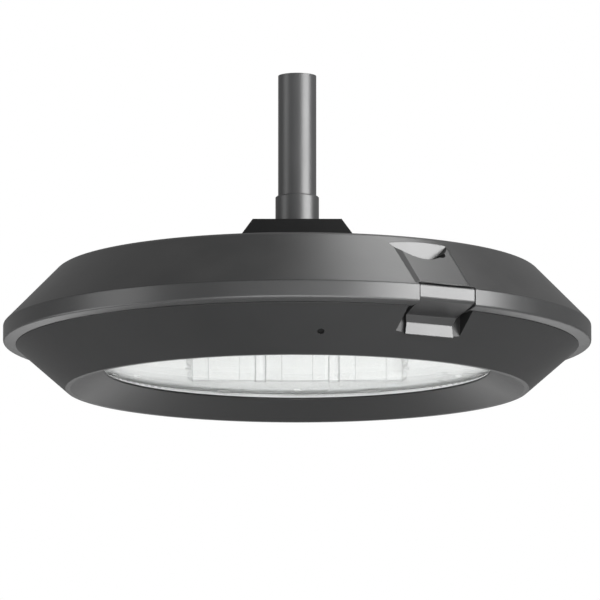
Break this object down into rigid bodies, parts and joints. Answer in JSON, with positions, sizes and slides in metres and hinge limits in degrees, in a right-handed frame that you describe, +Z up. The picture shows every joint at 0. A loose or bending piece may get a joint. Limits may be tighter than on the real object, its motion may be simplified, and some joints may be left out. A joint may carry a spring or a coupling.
{
  "type": "suspended disk street light",
  "caption": "Disk-shaped street light hung from a pipe stem, with a glazed lower frame that swings down on a rear hinge and a lever latch on its rim.",
  "frame": {"origin": "on the stem's axis, in the plane of the bottom_lip, which is the lowest edge", "axes": "+Z up along the stem; +X to the right and -Y towards the viewer of the picture, square to the mounting block"},
  "size_m": [0.65, 0.65, 0.3517],
  "materials": {
    "housing paint": "satin anthracite powder coat on die-cast aluminium",
    "frame paint": "satin anthracite powder coat on die-cast aluminium",
    "block paint": "satin dark powder coat on cast aluminium",
    "stem paint": "satin anthracite paint on steel pipe",
    "lever paint": "satin anthracite powder coat, a little glossier",
    "reflector white": "white coated sheet",
    "white screws": "white coated pan heads",
    "dark screws": "black oxide",
    "steel fasteners": "stainless",
    "bare aluminium": "bare extruded",
    "plated sheet": "zinc plated sheet",
    "board white": "white solder mask",
    "lens plastic": "clear moulded acrylic",
    "driver case": "satin case",
    "blue plastic": "moulded",
    "cream plastic": "moulded",
    "black rubber": "silicone rubber",
    "clear glass": "toughened flat glass"
  },
  "bodies": {
    "housing": {"stem_tube": "stem paint", "stem_collar": "stem paint", "collar_screws": "dark screws", "mounting_block": "block paint", "block_gasket": "black rubber", "block_screws": "steel fasteners", "upper_housing": "housing paint", "stem_locknut": "steel fasteners", "cable_bush": "black rubber", "recess_screw": "dark screws", "hinge_pin": "steel fasteners", "latch_pin": "steel fasteners", "heat_sink": "bare aluminium", "heat_sink_screws": "steel fasteners", "led_boards": "board white", "led_lenses": "lens plastic", "reflector_well": "reflector white", "reflector_apron": "reflector white", "apron_standoffs": "steel fasteners", "apron_screws": "white screws", "gear_tray": "plated sheet", "tray_screws": "steel fasteners", "led_driver": "driver case", "surge_protector": "blue plastic", "terminal_block": "cream plastic"},
    "door": {"lower_frame": "frame paint", "glass": "clear glass", "glass_gasket": "black rubber", "glass_clips": "steel fasteners", "clip_screws": "steel fasteners", "door_gasket": "black rubber", "frame_plug": "black rubber"},
    "latch": {"latch_lever": "lever paint"}
  },
  "joints": [
    {"name": "door_hinge", "type": "hinge", "parent": "housing", "child": "door", "pos_m": [-0.1575, 0.2728, 0.042], "axis": [0.866, 0.5, 0], "range_deg": [0, 80]},
    {"name": "latch_pivot", "type": "hinge", "parent": "housing", "child": "latch", "pos_m": [0.15975, -0.2767, 0.0685], "axis": [-0.866, -0.5, 0], "range_deg": [0, 70]}
  ]
}
